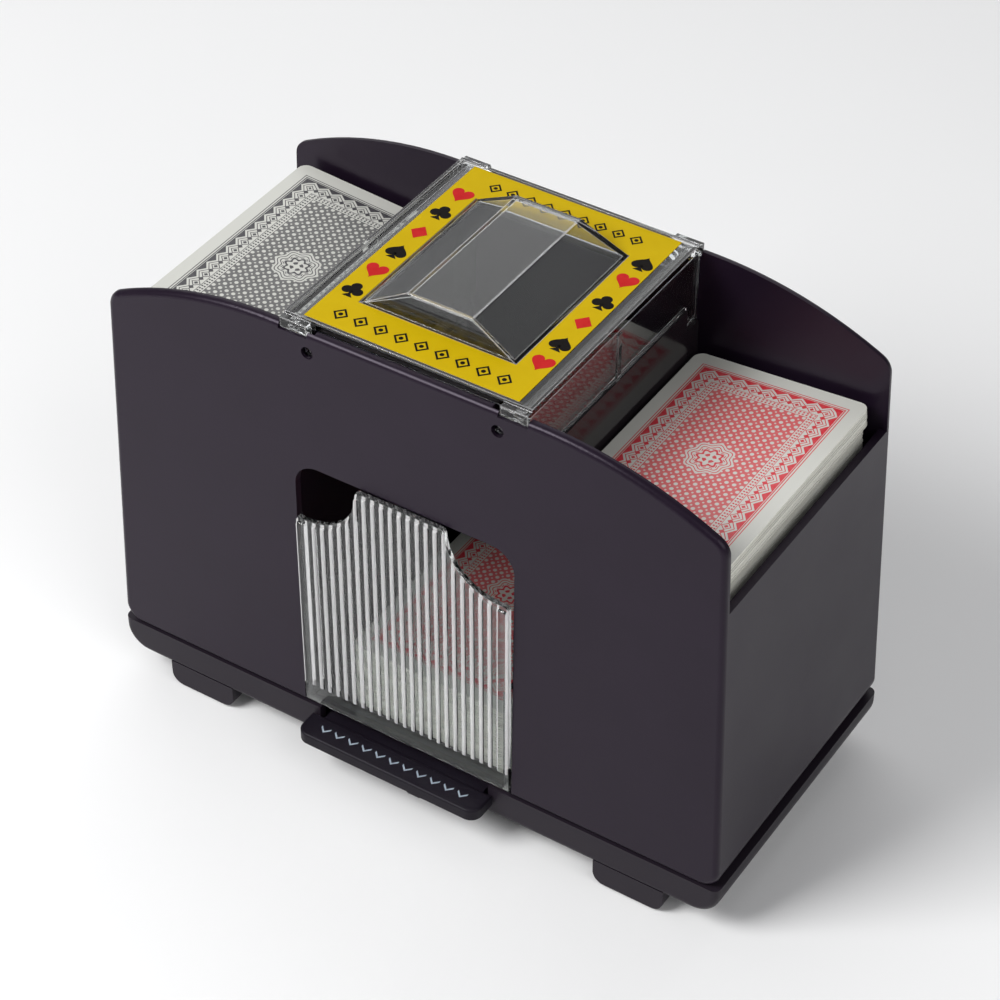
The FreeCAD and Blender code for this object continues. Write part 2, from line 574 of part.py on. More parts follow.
def motor(label, side):
    """Small flat-sided motor lying along Y, and the bracket that it is screwed to.

    The left bracket stands on the battery box, the right one on the base.
    """
    can = common(f"{label}_can", rod(f"{label}_can_round", "motor_radius", "motor_length", "y"),
                 block(f"{label}_can_flats", ("-motor_radius", "motor_radius"),
                       ("-1", "motor_length + 1"), ("-motor_flat", "motor_flat")))
    cap = rod(f"{label}_cap", "motor_cap", "motor_cap_length", "y", "0", "-motor_cap_length")
    boss = rod(f"{label}_boss", "boss_r", "motor_boss_length", "y", "0", "motor_length")
    bore = rod(f"{label}_bore", "motor_shaft_bore", "10", "y", "0",
               "motor_shaft_y - motor_y - 0.5")
    whole = cut(f"{label}_motor_cut", fuse(f"{label}_motor_solid", can, cap, boss), bore)
    subpart(whole, f"{label}_motor", f"{side}*{MOTOR_X}", "motor_y", MOTOR_Z)
    foot = "pan_z + wall" if side > 0 else "box_z"
    bracket = plate(f"{label}_bracket", "XZ_Plane",
                    rectangle(mirrored("bracket_in", "bracket_out", side), (foot, "bracket_z")),
                    "bracket_width", [(f"{side}*{MOTOR_X}", MOTOR_Z, "bracket_hole")])
    subpart(bracket, f"{label}_motor_bracket", "0", "bracket_y")


def bearing_plates(label, side):
    """Upright plates that carry the roller shaft, and at the back the gear's axle."""
    inner, outer = f"{side}*plate_in", f"{side}*plate_out"
    outline = [(inner, "pan_z + wall"), (outer, "pan_z + wall"), (outer, "plate_top_out"),
               (inner, "plate_top_in")]
    seat = (f"{side}*roller_x", ROLLER_Z, "bush_radius")
    axle_hole = (f"{side}*{COMPOUND_X}", COMPOUND_Z, "axle_radius")
    front = plate(f"{label}_front", "XZ_Plane", outline, "plate_width", [seat])
    subpart(front, f"{label}_front_bearing_plate", "0", "plate_front")
    back = plate(f"{label}_back", "XZ_Plane", outline, "plate_width", [seat, axle_hole])
    subpart(back, f"{label}_rear_bearing_plate", "0", "plate_back")


def shaft_bushes():
    """Flanged bushes, one at each end of both roller shafts."""
    rings = []
    for label, side in SIDES:
        for end, start, flange in (("f", "plate_front", "plate_front + plate_width"),
                                   ("b", "plate_back", "plate_back - bush_flange_width")):
            name = f"bush_{label}_{end}"
            at = (f"{side}*roller_x", ROLLER_Z)
            sleeve = rod(f"{name}_sleeve", "bush_radius", "plate_width", "y", at[0], start, at[1])
            collar = rod(f"{name}_collar", "bush_flange", "bush_flange_width", "y", at[0],
                         flange, at[1])
            bore = rod(f"{name}_bore", "bush_bore", "10", "y", at[0], f"{start} - 4", at[1])
            rings.append(cut(name, fuse(f"{name}_solid", sleeve, collar), bore))
    subpart(fuse("bushes", *rings), "shaft_bushes")


# ---------------------------------------------------------------- lid
def lid():
    """Clear lid: plate with raised rim and window, side skirts, lugs and four pegs."""
    x, y = ("-lid_half_x", "lid_half_x"), ("-lid_half_y", "lid_half_y")
    plate_block = block("lid_plate", x, y, ("lid_z", "label_z"))
    rim = cut("lid_rim_ring", block("lid_rim_outer", x, y, ("label_z", "lid_rim_z")),
              block("lid_rim_inner", ("-lid_half_x + lid_rim", "lid_half_x - lid_rim"),
                    ("-lid_half_y + lid_rim", "lid_half_y - lid_rim"), ("lid_z", "blank_z + 5")))
    bubble = taper("bubble_outer", ("bubble_x", "bubble_y"), ("bubble_top_x", "bubble_top_y"),
                   ("label_z", "bubble_z"))
    parts = [plate_block, rim, bubble]
    for label, side in SIDES:
        wall_x = mirrored("lid_half_x - skirt_wall", "lid_half_x", side)
        parts.append(block(f"skirt_{label}", wall_x, y, ("skirt_z", "lid_z")))
        rib_x = mirrored("lid_half_x", "lid_half_x + rib_depth", side)
        parts.append(block(f"skirt_rib_{label}", rib_x, ("-rib_y", "rib_y"), ("skirt_z", "lid_z")))
    for i, (sx, sy) in enumerate(CORNERS):
        wall_x = mirrored("lid_half_x - skirt_wall", "lid_half_x", sx)
        tab_y = mirrored("lid_half_y - tab_length", "lid_half_y", sy)
        parts.append(block(f"skirt_tab{i}", wall_x, tab_y, ("tab_z", "skirt_z")))
        parts.append(block(f"lug{i}", mirrored("lug_in", "lid_half_x", sx),
                           mirrored("lid_half_y", "lug_y", sy), ("lug_z", "label_z")))
        start = "lid_half_y" if sy > 0 else "-peg_end"
        parts.append(rod(f"peg{i}", "peg_radius", "peg_end - lid_half_y", "y", f"{sx}*peg_x",
                         start, "peg_z"))
    for i, sy in enumerate((-1, 1)):
        flange_y = mirrored("lid_half_y - flange_wall", "lid_half_y", sy)
        parts.append(block(f"flange{i}", ("-flange_half", "flange_half"),
                           flange_y, ("flange_z", "lid_z")))
    inside = taper("bubble_inner", ("bubble_x - bubble_wall", "bubble_y - bubble_wall"),
                   ("bubble_top_x - bubble_wall/2", "bubble_top_y - bubble_wall"),
                   ("label_z - 0.001", "bubble_z - bubble_wall"))
    hole = block("bubble_hole", ("-bubble_x + bubble_wall", "bubble_x - bubble_wall"),
                 ("-bubble_y + bubble_wall", "bubble_y - bubble_wall"), ("lid_z - 1", "label_z"))
    subpart(cut("lid_cut", fuse("lid_solid", *parts), inside, hole), "lid")


def label_sheet():
    """Thin printed card on the lid's plate, cut out around the raised window."""
    sheet_body = plate("label_body", "XY_Plane",
                       rectangle(("-label_x", "label_x"), ("-label_y", "label_y")), "label_sheet",
                       inner=[rectangle(("-bubble_x - 0.1", "bubble_x + 0.1"),
                                        ("-bubble_y - 0.1", "bubble_y + 0.1"))])
    subpart(sheet_body, "label_sheet", "0", "0", "label_z")


# ---------------------------------------------------------------- tray
def tray():
    """Clear drawer: ribbed scalloped front, floor, two side walls and a low back wall."""
    face = block("tray_face_block", ("-tray_half", "tray_half"),
                 ("-tray_front", "-tray_front + tray_face + tray_rib_radius/2"),
                 ("tray_z", "tray_tongue_z"))
    scallops = []
    for label, side in SIDES:
        scallops.append(rod(f"scallop_{label}", "scallop_radius", "20", "y",
                            f"{side}*scallop_x", "-tray_front - 5", "scallop_z"))
        scallops.append(block(f"scallop_top_{label}", mirrored("tray_tongue_half", "60", side),
                              ("-tray_front - 5", "-tray_front + 15"), ("scallop_z", "150")))
        scallops.append(block(f"scallop_end_{label}", mirrored("scallop_x", "60", side),
                              ("-tray_front - 5", "-tray_front + 15"),
                              ("scallop_z - scallop_radius", "150")))
    face = cut("tray_face_outline", face, *scallops)
    grooves = []
    for i in range(int(value("tray_ribs")) - 1):
        x = f"({i} - (tray_ribs - 2)/2)*tray_rib_pitch"
        grooves.append(rod(f"tray_groove{i}", "tray_rib_radius/2", "100", "z", x, "-tray_front",
                           "tray_lip_z"))
    face = cut("tray_face_ribbed", face, *grooves)
    x = ("-tray_side_out", "tray_side_out")
    front = "-tray_front + tray_face"
    floor = block("tray_floor_block", x, (front, "tray_back"), ("tray_z", "tray_z + tray_floor"))
    back = block("tray_back_wall", x, ("tray_back - tray_wall", "tray_back"),
                 ("tray_z", "tray_back_z"))
    sides = [block(f"tray_side_{label}",
                   mirrored("tray_side_out - tray_wall", "tray_side_out", side),
                   (front, "tray_back"), ("tray_z", "tray_side_z")) for label, side in SIDES]
    subpart(fuse("tray_solid", face, floor, back, *sides), "tray")


# ---------------------------------------------------------------- press lever and switch
def press_lever():
    """Press bar in front of the base, with a neck to its pivot barrel inside."""
    bar = plate("lever_bar", "XY_Plane",
                rectangle(("bar_left", "bar_right"), ("bar_front", "bar_back")),
                "bar_top_z - bar_z")
    doc.recompute()
    move(bar, "0", "0", "bar_z")
    front_corners = rounded("lever_bar_corners", bar, "bar_corner",
                            lambda e: along(e, 2) and e.CenterOfMass.y < value("bar_front") + 1)
    bar = rounded("lever_bar_round", front_corners, "bar_edge",
                  lambda e: e.CenterOfMass.z > value("bar_top_z") - 0.01)
    neck = block("lever_neck", ("neck_left", "neck_right"), ("bar_back - 1", "pivot_y"),
                 ("neck_z", "neck_top_z"))
    barrel = rod("lever_barrel", "barrel_radius", "neck_right - neck_left", "x", "neck_left",
                 "pivot_y", "pivot_z")
    nub = block("lever_nub", ("nub_x - nub_width/2", "nub_x + nub_width/2"),
                ("bar_front + 0.6", "bar_front + 3"), ("bar_z - nub_height", "bar_z + 1"))
    bore = rod("lever_bore", "pin_bore", "neck_right - neck_left + 2", "x", "neck_left - 1",
               "pivot_y", "pivot_z")
    subpart(cut("lever_cut", fuse("lever_solid", bar, neck, barrel, nub), bore), "press_lever")
    pin = rod("pin_rod", "pin_radius", "pin_right - pin_left", "x")
    subpart(pin, "lever_pin", "pin_left", "pivot_y", "pivot_z")


def lever_spring():
    """Bent leaf spring between the base and the underside of the lever."""
    low = "pan_z + wall + 0.05"
    rest, bend, tip = "pivot_y - 8", "pivot_y - 14", "pivot_y - 28"
    spring = plate("spring_leaf", "YZ_Plane",
                   [(rest, low), (bend, low), (tip, "neck_z - strip - 0.1"), (tip, "neck_z - 0.1"),
                    (bend, f"{low} + strip"), (rest, f"{low} + strip")], "spring_width")
    subpart(spring, "lever_spring", "spring_x - spring_width/2")


def switch_contacts():
    """Two brass strips under the lever, which close the motor circuit when pressed."""
    x = ("strip_x - strip_width/2", "strip_x + strip_width/2")
    fixed = plate("strip_fixed", "XY_Plane", rectangle(x, ("pivot_y - 32", "pivot_y - 8")), "strip",
                  [("strip_x", "pivot_y - 12", "1")])
    subpart(fixed, "fixed_contact", "0", "0", "pan_z + wall + 0.05")
    moving = plate("strip_moving", "XY_Plane", rectangle(x, ("pivot_y - 32", "pivot_y - 22")),
                   "strip", [("strip_x", "pivot_y - 25", "1")])
    subpart(moving, "moving_contact", "0", "0", "neck_z - strip")


# ---------------------------------------------------------------- batteries
def battery_box():
    shell = cut("box_shell",
                block("box_outer", ("-box_out", "-box_in"), ("-box_half_y", "box_half_y"),
                      ("pan_z + wall", "box_z")),
                block("box_inner", ("-box_out + box_wall", "-box_in - box_wall"),
                      ("-box_half_y + box_wall", "box_half_y - box_wall"),
                      ("pan_z + wall - 1", "box_z - box_wall")))
    subpart(shell, "battery_box")


CELL_CENTRES = ("-cell_x", "-cell_x - cell_pitch")
CONTACT_FACE = "(box_half_y - box_wall - strip)"
CELL_FLAT = f"(cell_length + nub_length - ({CONTACT_FACE} - cell_touch))"


def batteries():
    """Two C cells side by side, pointing opposite ways."""
    cells = []
    for i, x in enumerate(CELL_CENTRES):
        body_y = f"-{CELL_FLAT}" if i == 0 else f"{CELL_FLAT} - cell_length"
        cells.append(rod(f"cell{i}", "cell_radius", "cell_length", "y", x, body_y, "cell_z"))
        nub_y = f"cell_length - {CELL_FLAT}" if i == 0 else f"{CELL_FLAT} - cell_length - nub_length"
        cells.append(rod(f"cell_nub{i}", "nub_radius", "nub_length", "y", x, nub_y, "cell_z"))
    subpart(fuse("cells", *cells), "batteries")


def battery_contacts():
    """Plates at both ends of each cell, with a bowed leaf spring behind its flat end."""
    plates, leaves = [], []
    for i, x in enumerate(CELL_CENTRES):
        for j, sy in enumerate((-1, 1)):
            plates.append(block(f"contact{i}{j}", (f"{x} - contact_half", f"{x} + contact_half"),
                                mirrored(CONTACT_FACE, "box_half_y - box_wall", sy),
                                ("cell_z - contact_half", "cell_z + contact_half")))
        foot, crown = f"({CONTACT_FACE} - 0.02)", f"({CELL_FLAT} + cell_touch)"
        profile = [(foot, "cell_z - contact_half"), (foot, "cell_z - contact_half + strip"),
                   (f"{crown} + strip", "cell_z - nub_length"),
                   (f"{crown} + strip", "cell_z + nub_length"),
                   (foot, "cell_z + contact_half - strip"), (foot, "cell_z + contact_half"),
                   (f"{foot} - strip", "cell_z + contact_half"), (crown, "cell_z + nub_length"),
                   (crown, "cell_z - nub_length"), (f"{foot} - strip", "cell_z - contact_half")]
        flip = "-" if i == 0 else ""
        leaf = plate(f"leaf{i}", "YZ_Plane", [(f"{flip}({y})", z) for y, z in profile],
                     "leaf_width")
        leaves.append(move(leaf, f"{x} - leaf_width/2"))
    subpart(fuse("contacts", *plates), "battery_contacts")
    subpart(fuse("leaves", *leaves), "battery_springs")


def battery_door():
    """Flat door in the base, with a finger groove and a round inner edge on two pins."""
    door = block("door_plate", ("-door_out", "-door_in - door_thick/2"),
                 ("-door_half_y", "door_half_y"), ("door_z", "door_z + door_thick"))
    grip = block("door_grip", ("-door_out + grip_inset", "-door_out + grip_inset + grip_width"),
                 ("-grip_length/2", "grip_length/2"), ("door_z - 1", "door_z + grip_depth"))
    barrel = rod("door_barrel", "door_thick/2", "2*door_half_y", "y", DOOR_AXIS_X,
                 "-door_half_y", DOOR_AXIS_Z)
    pins = rod("door_pins", "door_pin", "2*(door_half_y + door_pin_reach)", "y", DOOR_AXIS_X,
               "-door_half_y - door_pin_reach", DOOR_AXIS_Z)
    subpart(cut("door_cut", fuse("door_solid", door, barrel, pins), grip), "battery_door")


# ---------------------------------------------------------------- playing cards
def decks():
    for (label, side), thick in zip(SIDES, ("deck_right", "deck_left")):
        stack = block(f"deck_{label}_block", mirrored("deck_end - card_width", "deck_end", side),
                      ("-card_length/2", "card_length/2"), ("0", thick))
        stack = rounded(f"deck_{label}_stack", stack, "card_corner", lambda e: along(e, 2))
        on_card_plane(stack, f"{label}_deck", side)
    pile = block("pile_block", ("pile_left", "pile_left + card_width"),
                 ("pile_y - card_length/2", "pile_y + card_length/2"), ("pile_z", "pile_top_z"))
    subpart(rounded("pile_stack", pile, "card_corner", lambda e: along(e, 2)), "tray_cards")


housing_shell()
base_pan()
foot_pads()
case_screws()
chamber_frame()
for side_label, side_sign in SIDES:
    hopper_floor(side_label, side_sign)
    gate_wall(side_label, side_sign)
    feed_train(side_label, side_sign)
    motor(side_label, side_sign)
    bearing_plates(side_label, side_sign)
shaft_bushes()
lid()
label_sheet()
tray()
press_lever()
lever_spring()
switch_contacts()
battery_box()
batteries()
battery_contacts()
battery_door()
decks()
doc.recompute()

for item in doc.Objects:
    assert "Invalid" not in item.State and "Error" not in item.State, f"{item.Name} failed"
os.makedirs("parts", exist_ok=True)
for item in SUBPARTS:
    assert not item.Shape.isNull() and item.Shape.isValid(), f"{item.Label} is not sound"
    item.Shape.exportStep(f"parts/{item.Label}.step")
    print(f"{item.Label}: {len(item.Shape.Solids)} solids, {item.Shape.Volume:.0f} mm3")
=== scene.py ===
"""Looks of the automatic card shuffler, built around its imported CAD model, in metres."""
import json
import math
import random

import bmesh
import bpy
from mathutils import Matrix, Vector


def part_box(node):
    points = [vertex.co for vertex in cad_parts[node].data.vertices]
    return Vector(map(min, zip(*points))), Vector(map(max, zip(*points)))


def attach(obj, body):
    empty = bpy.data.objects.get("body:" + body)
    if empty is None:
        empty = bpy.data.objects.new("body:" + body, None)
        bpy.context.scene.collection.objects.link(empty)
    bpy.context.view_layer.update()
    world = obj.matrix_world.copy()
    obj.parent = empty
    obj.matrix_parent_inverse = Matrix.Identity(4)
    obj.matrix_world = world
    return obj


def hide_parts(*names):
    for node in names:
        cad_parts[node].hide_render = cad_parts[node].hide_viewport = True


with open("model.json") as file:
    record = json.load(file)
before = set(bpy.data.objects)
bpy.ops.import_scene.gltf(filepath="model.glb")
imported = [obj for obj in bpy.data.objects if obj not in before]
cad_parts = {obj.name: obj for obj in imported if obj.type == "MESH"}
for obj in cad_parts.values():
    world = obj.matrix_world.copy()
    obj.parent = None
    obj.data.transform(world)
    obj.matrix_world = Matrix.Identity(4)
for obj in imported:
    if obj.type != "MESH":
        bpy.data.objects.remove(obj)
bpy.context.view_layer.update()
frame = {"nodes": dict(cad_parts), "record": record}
NODES = frame["nodes"]
SLOT_OF = {part["node"]: part["material_slot"] for part in frame["record"]["subparts"]}
BODY_OF = {node: body for body, members in frame["record"]["behaviour"]["bodies"].items()
           for node in members}
MM = 0.001
scene = bpy.context.scene
rng = random.Random(11)


# ------------------------------------------------------------------ shader arithmetic
class Number:
    """A number inside a shader: arithmetic on it adds Math nodes to its tree."""

    def __init__(self, tree, socket):
        self.tree, self.socket = tree, socket

    def math(self, operation, *others, clamp=False):
        node = self.tree.nodes.new("ShaderNodeMath")
        node.operation, node.use_clamp = operation, clamp
        for pin, item in zip(node.inputs, (self, *others)):
            if isinstance(item, Number):
                self.tree.links.new(item.socket, pin)
            else:
                pin.default_value = item
        return Number(self.tree, node.outputs[0])

    def __add__(self, other):
        return self.math("ADD", other)

    def __sub__(self, other):
        return self.math("SUBTRACT", other)

    def __mul__(self, other):
        return self.math("MULTIPLY", other)

    def __abs__(self):
        return self.math("ABSOLUTE")

    def __and__(self, other):
        return self.math("MULTIPLY", other)

    def __or__(self, other):
        return self.math("MAXIMUM", other)

    def less(self, other):
        """The lesser of the two numbers."""
        return self.math("MINIMUM", other)

    def wave(self, half):
        """A triangle wave that is 0 at 0 and half at half."""
        return self.math("PINGPONG", half)

    def below(self, edge, soft=0.08):
        """1 where the number is under the edge, with a narrow ramp across it."""
        return ((self - edge) * (-1 / soft)).math("ADD", 0.5, clamp=True)

    def near(self, middle, half, soft=0.08):
        """1 within half of the middle, which draws a line."""
        return abs(self - middle).below(half, soft)

    def inverse(self):
        return self.math("MULTIPLY_ADD", -1.0, 1.0)


def new_material(name):
    material = bpy.data.materials.new(name)
    material.use_nodes = True
    tree = material.node_tree
    tree.nodes.clear()
    shader = tree.nodes.new("ShaderNodeBsdfPrincipled")
    output = tree.nodes.new("ShaderNodeOutputMaterial")
    tree.links.new(shader.outputs[0], output.inputs[0])
    return material, tree, shader


def coordinates(tree, scale):
    """Object coordinates, scaled."""
    place = tree.nodes.new("ShaderNodeTexCoord")
    mapping = tree.nodes.new("ShaderNodeMapping")
    mapping.inputs["Scale"].default_value = scale
    tree.links.new(place.outputs["Object"], mapping.inputs["Vector"])
    return mapping.outputs[0]


def noise(tree, scale, detail, stretch=(1, 1, 1)):
    node = tree.nodes.new("ShaderNodeTexNoise")
    node.inputs["Scale"].default_value = scale
    node.inputs["Detail"].default_value = detail
    tree.links.new(coordinates(tree, stretch), node.inputs["Vector"])
    return Number(tree, node.outputs["Fac"])


def blend_colours(tree, factor, first, second):
    node = tree.nodes.new("ShaderNodeMix")
    node.data_type = "RGBA"
    tree.links.new(factor.socket, node.inputs["Factor"])
    node.inputs["A"].default_value = (*first, 1)
    node.inputs["B"].default_value = (*second, 1)
    return node.outputs["Result"]


def add_bump(tree, shader, height, distance):
    bump = tree.nodes.new("ShaderNodeBump")
    bump.inputs["Distance"].default_value = distance
    tree.links.new(height.socket, bump.inputs["Height"])
    tree.links.new(bump.outputs[0], shader.inputs["Normal"])


def surface(name, colour, other, rough, spread=0.06, patch=45.0, grain=1400.0, depth=0.00002,
            stretch=(1, 1, 1), **fixed):
    """A moulded, printed or metal surface: two mottled colours, uneven gloss, a fine grain.

    The patch and grain are noise scales per metre, and the depth is the grain's, in metres.
    """
    material, tree, shader = new_material(name)
    mottle = noise(tree, patch, 4.0, stretch)
    tone = mottle.math("MULTIPLY_ADD", 2.4, -0.7, clamp=True)
    tree.links.new(blend_colours(tree, tone, colour, other), shader.inputs["Base Color"])
    tree.links.new((tone * spread + (rough - spread / 2)).socket, shader.inputs["Roughness"])
    add_bump(tree, shader, noise(tree, grain, 2.0, stretch), depth)
    for pin, number in fixed.items():
        shader.inputs[pin.replace("_", " ")].default_value = number
    return material


def clear_plastic(name, tint, rough, wave_scale, depth, painted_highlight_share=0.0):
    """Clear moulded polystyrene with slight ripples; the last argument is the share that is milky
    white, a painted highlight that lightens the surface in place of reflections.
    """
    material, tree, shader = new_material(name)
    ripple = noise(tree, wave_scale, 2.0)
    gloss = noise(tree, 30.0, 3.0)
    tree.links.new((gloss * 0.05 + rough).socket, shader.inputs["Roughness"])
    shade = tuple(c * 0.97 for c in tint)
    tree.links.new(blend_colours(tree, gloss, tint, shade), shader.inputs["Base Color"])
    add_bump(tree, shader, ripple, depth)
    shader.inputs["Transmission Weight"].default_value = 1.0 - painted_highlight_share
    shader.inputs["IOR"].default_value = 1.5
    return material


BODY_TONES = ((0.0085, 0.0045, 0.0105), (0.0105, 0.0058, 0.013))
MATERIALS = {
    "case_black": surface("case_plastic", *BODY_TONES, 0.31, depth=0.000012,
                          Specular_IOR_Level=0.22, Specular_Tint=(0.94, 0.85, 1.0, 1.0)),
    "base_black": surface("base_plastic", (0.013, 0.009, 0.015), (0.016, 0.012, 0.018), 0.44,
                          depth=0.000012, Specular_IOR_Level=0.2),
    # Inside parts: black plastic with a darker base than the case, partly painted shade for the
    # dim inside of the housing.
    "inner_black": surface("inner_plastic_painted_shade", (0.006, 0.003, 0.006), (0.009, 0.005, 0.009), 0.5,
                           Specular_IOR_Level=0.08),
    "gate_gloss": surface("gate_plastic", (0.010, 0.008, 0.010), (0.015, 0.011, 0.014), 0.14,
                          depth=0.00001),
    "lever_black": surface("lever_plastic", (0.007, 0.005, 0.009), (0.009, 0.007, 0.012), 0.46,
                           depth=0.00002, Specular_IOR_Level=0.15),
    "pad_rubber": surface("pad_rubber", (0.014, 0.014, 0.014), (0.024, 0.023, 0.022), 0.85,
                          depth=0.00008, grain=700.0),
    "roller_rubber": surface("roller_rubber", (0.02, 0.02, 0.021), (0.035, 0.034, 0.034), 0.75,
                             depth=0.0001, grain=500.0),
    "gear_white": surface("acetal", (0.70, 0.69, 0.64), (0.62, 0.61, 0.56), 0.38),
    "motor_can": surface("motor_steel", (0.52, 0.52, 0.53), (0.38, 0.38, 0.40), 0.32, 0.14,
                         stretch=(1, 0.08, 1), Metallic=1.0),
    "pin_steel": surface("ground_steel", (0.58, 0.58, 0.58), (0.46, 0.46, 0.47), 0.25, 0.12,
                         stretch=(1, 0.05, 1), Metallic=1.0),
    "screw_steel": surface("screw_steel", (0.50, 0.50, 0.52), (0.36, 0.36, 0.38), 0.36, 0.12,
                           Metallic=1.0),
    "spring_steel": surface("spring_steel", (0.55, 0.55, 0.55), (0.40, 0.40, 0.42), 0.3, 0.12,
                            stretch=(0.1, 1, 1), Metallic=1.0),
    "bush_brass": surface("turned_brass", (0.72, 0.50, 0.20), (0.58, 0.38, 0.14), 0.3, 0.12,
                          Metallic=1.0),
    "contact_brass": surface("strip_brass", (0.74, 0.54, 0.24), (0.60, 0.42, 0.17), 0.3, 0.12,
                             stretch=(1, 0.1, 1), Metallic=1.0),
    "contact_plate": surface("nickel_strip", (0.62, 0.60, 0.56), (0.50, 0.48, 0.45), 0.28, 0.12,
                             Metallic=1.0),
    "cell_sleeve": surface("cell_sleeve", (0.05, 0.06, 0.10), (0.035, 0.04, 0.07), 0.3,
                           Coat_Weight=0.3),
    "label_card": surface("label_yellow", (0.52, 0.36, 0.001), (0.495, 0.34, 0.001), 0.5,
                          patch=160.0, grain=2500.0, depth=0.000008, Specular_IOR_Level=0.05),
    "clear_plastic": clear_plastic("lid_polystyrene", (0.93, 0.95, 0.95), 0.02, 55.0, 0.000006),
    "tray_clear": clear_plastic("tray_polystyrene", (0.93, 0.96, 0.95), 0.05, 120.0, 0.00003),
}
# Milky material for the lid's rounded edges: painted highlight in place of the bright lines that
# refraction and inner reflection draw there.
PAINTED_LID_EDGE_HIGHLIGHT = clear_plastic("lid_edges_painted_highlight", (0.95, 0.95, 0.95), 0.12, 55.0, 0.000006, painted_highlight_share=0.22)
# Milky material for the tray's ribs and strip edges: painted highlight standing in for the
# studio's reflections on the half-round ribs.
PAINTED_RIB_HIGHLIGHT = clear_plastic("tray_ribs", (0.95, 0.94, 0.95), 0.10, 120.0, 0.00003, painted_highlight_share=0.46)
PRINT_BLACK = surface("print_black", (0.004, 0.003, 0.003), (0.008, 0.006, 0.005), 0.5,
                      patch=300.0, Specular_IOR_Level=0.05)
PRINT_RED = surface("print_red", (0.50, 0.018, 0.018), (0.44, 0.012, 0.013), 0.5, patch=300.0,
                    Specular_IOR_Level=0.05)
PRINT_PALE = surface("print_pale", (0.36, 0.43, 0.50), (0.26, 0.31, 0.37), 0.5, patch=900.0)
PAPER = (0.545, 0.545, 0.505)


def card_back(name, ink_colour, half_width, half_length):
    """A printed card back in millimetres from the card's middle: frame, band, field, rosette.

    The paper border is blank, and the band round the print repeats at each step. Depth is
    the distance in from the print's edge, and each near() there draws a line or a row.
    """
    material, tree, shader = new_material(name)
    split = tree.nodes.new("ShaderNodeSeparateXYZ")
    tree.links.new(coordinates(tree, (1 / MM,) * 3), split.inputs[0])
    u, v = Number(tree, split.outputs[0]), Number(tree, split.outputs[1])
    border, step = 4.6, 4.8
    band_middle, ladder_middle, band_end = 5.0, 7.75, 9.1
    print_u = round((half_width - border) / step * 2) * step / 2
    print_v = round((half_length - border) / step * 2) * step / 2
    from_side, from_end = abs(u) * -1 + print_u, abs(v) * -1 + print_v
    depth = from_side.less(from_end)
    on_side = (from_side - from_end).below(0, 0.01)
    along = u + on_side * (v - u)
    wave = along.wave(step / 2)

    lines = depth.near(0.16, 0.15) | depth.near(0.95, 0.17) | depth.near(9.0, 0.14)
    teeth = (depth - wave * 0.75).below(1.55) & depth.below(1.3).inverse()
    zigzag = (depth - wave * 0.75).near(2.5, 0.17)
    lozenge = abs(depth - band_middle) + wave
    flower = lozenge.near(1.45, 0.2) | lozenge.below(0.7)
    bud = (abs(depth - band_middle) - wave).below(-1.45)
    rungs = along.wave(0.6).below(0.3) & depth.near(ladder_middle, 0.72)
    ladder = ((rungs & depth.near(ladder_middle, 0.14).inverse())
              | depth.near(ladder_middle - 1.0, 0.1))
    band = lines | teeth | zigzag | flower | bud | ladder

    pitch = 1.2
    near_u, near_v = u.wave(pitch), v.wave(pitch)
    dot = (near_u * near_u + near_v * near_v).below(0.40, 0.2)
    far_u, far_v = near_u - pitch, near_v - pitch
    small = (far_u * far_u + far_v * far_v).below(0.10, 0.1)
    field = (dot | small).inverse() * 0.86
    inside = depth.below(band_end).inverse()
    ink = (band & inside.inverse()) | (field & inside)

    radius = (u * u + v * v).math("SQRT")
    angle = v.math("ARCTAN2", u)
    lobes = 8.0
    shape = radius - (angle * lobes).math("COSINE") * 0.5
    petals = radius.near(1.5, 0.55) & (angle * (lobes / 2)).math("COSINE").below(0.2, 0.3)
    beads = shape.near(4.3, 0.2) & (angle * (lobes * 2)).math("COSINE").below(0, 0.3)
    rosette = (shape.near(6.2, 0.16) | shape.near(5.1, 0.18) | shape.near(3.4, 0.42)
               | petals | beads)
    within = shape.below(7.0)
    ink = (ink & within.inverse()) | (rosette & within)
    ink = ink & depth.below(0.0).inverse()
    wear = noise(tree, 900.0, 3.0).math("MULTIPLY_ADD", 0.25, 0.85, clamp=True)
    tree.links.new(blend_colours(tree, ink & wear, PAPER, ink_colour), shader.inputs["Base Color"])
    shader.inputs["Roughness"].default_value = 0.38
    shader.inputs["Coat Weight"].default_value = 0.12
    linen = (u * 9.0).math("SINE") * (v * 9.0).math("SINE")
    add_bump(tree, shader, linen, 0.000006)
    return material


CARD_EDGE = surface("card_edge", (0.72, 0.71, 0.63), (0.82, 0.82, 0.75), 0.6, 0.1, patch=90.0,
                    stretch=(1, 1, 12), grain=900.0, depth=0.00002)
CARD_FACE = surface("card_face", PAPER, (0.51, 0.51, 0.47), 0.42, patch=30.0)


# ------------------------------------------------------------------ mesh helpers
def add_object(name, data):
    item = bpy.data.objects.new(name, data)
    scene.collection.objects.link(item)
    return item


def make_piece(name, mesh_maker, materials, body, replaces=(), matrix=None, smooth=None):
    """A new piece from a bmesh that mesh_maker fills, riding on a body.

    With smooth, faces that meet at less than that many degrees are shaded as one.
    """
    mesh = bpy.data.meshes.new(name)
    bm = bmesh.new()
    mesh_maker(bm)
    bmesh.ops.recalc_face_normals(bm, faces=bm.faces)
    bm.to_mesh(mesh)
    bm.free()
    for material in materials:
        mesh.materials.append(material)
    piece = add_object(name, mesh)
    if matrix:
        piece.matrix_world = matrix
    if smooth:
        for polygon in mesh.polygons:
            polygon.use_smooth = True
        mesh.set_sharp_from_angle(angle=math.radians(smooth))
    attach(piece, body)
    if replaces:
        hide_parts(*replaces)
    return piece


